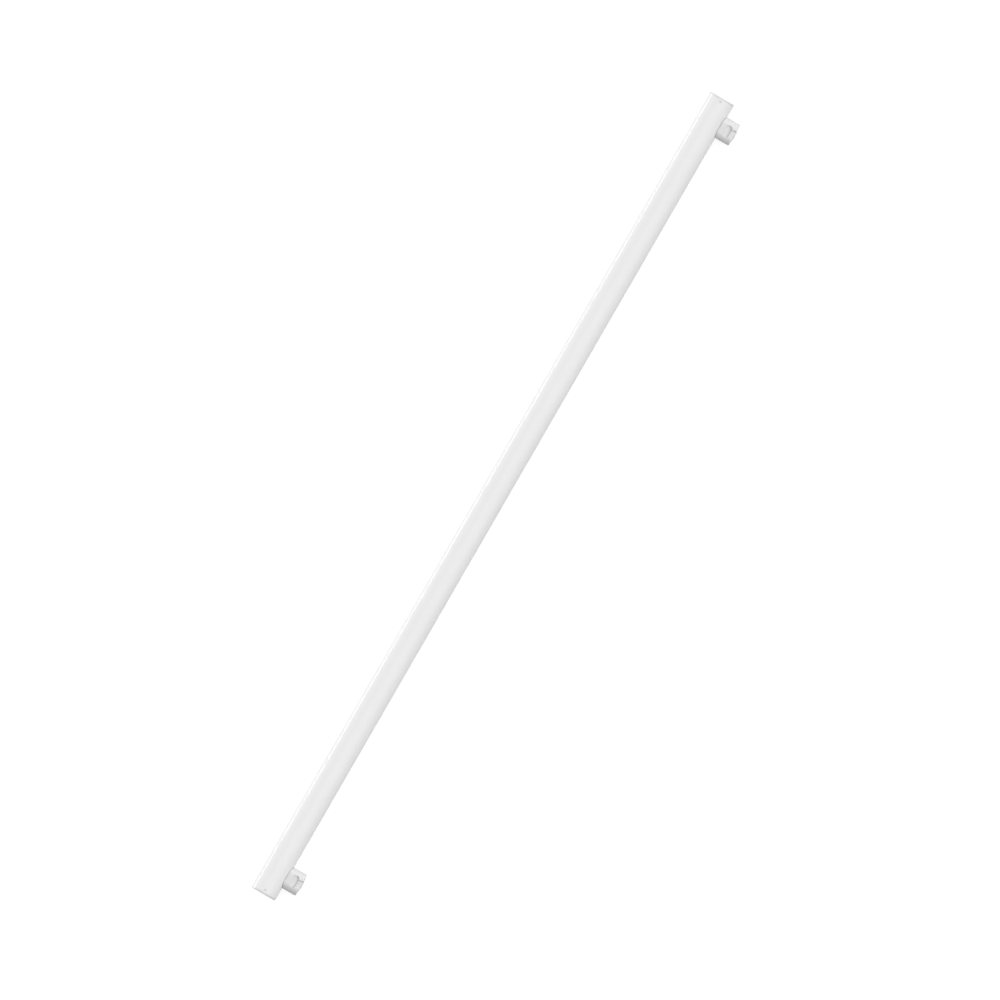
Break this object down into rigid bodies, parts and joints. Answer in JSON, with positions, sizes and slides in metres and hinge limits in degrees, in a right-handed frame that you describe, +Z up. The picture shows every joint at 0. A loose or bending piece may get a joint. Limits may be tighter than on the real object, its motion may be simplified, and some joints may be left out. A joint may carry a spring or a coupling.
{
  "type": "tubular light bulb",
  "caption": "Long opal tube lamp, closed by plug caps, with oblong moulded S14s bases on its side near the ends, each with a recessed contact in a collar, and spring pockets.",
  "frame": {"origin": "on the table under the middle of the lamp, as it lies on its tube and on the edges of its base ends", "axes": "+X along the tube, -Y towards the ends of the bases, +Z up"},
  "size_m": [1, 0.0476, 0.0298],
  "materials": {
    "opal_tube": "satin opal white",
    "white_moulding": "fine satin moulded white",
    "contact_metal": "turned, slightly dull"
  },
  "bodies": {
    "root": {"tube": "opal_tube", "end_cap_left": "white_moulding", "end_cap_right": "white_moulding", "base_left": "white_moulding", "base_right": "white_moulding", "contact_left": "contact_metal", "contact_right": "contact_metal"}
  },
  "joints": []
}
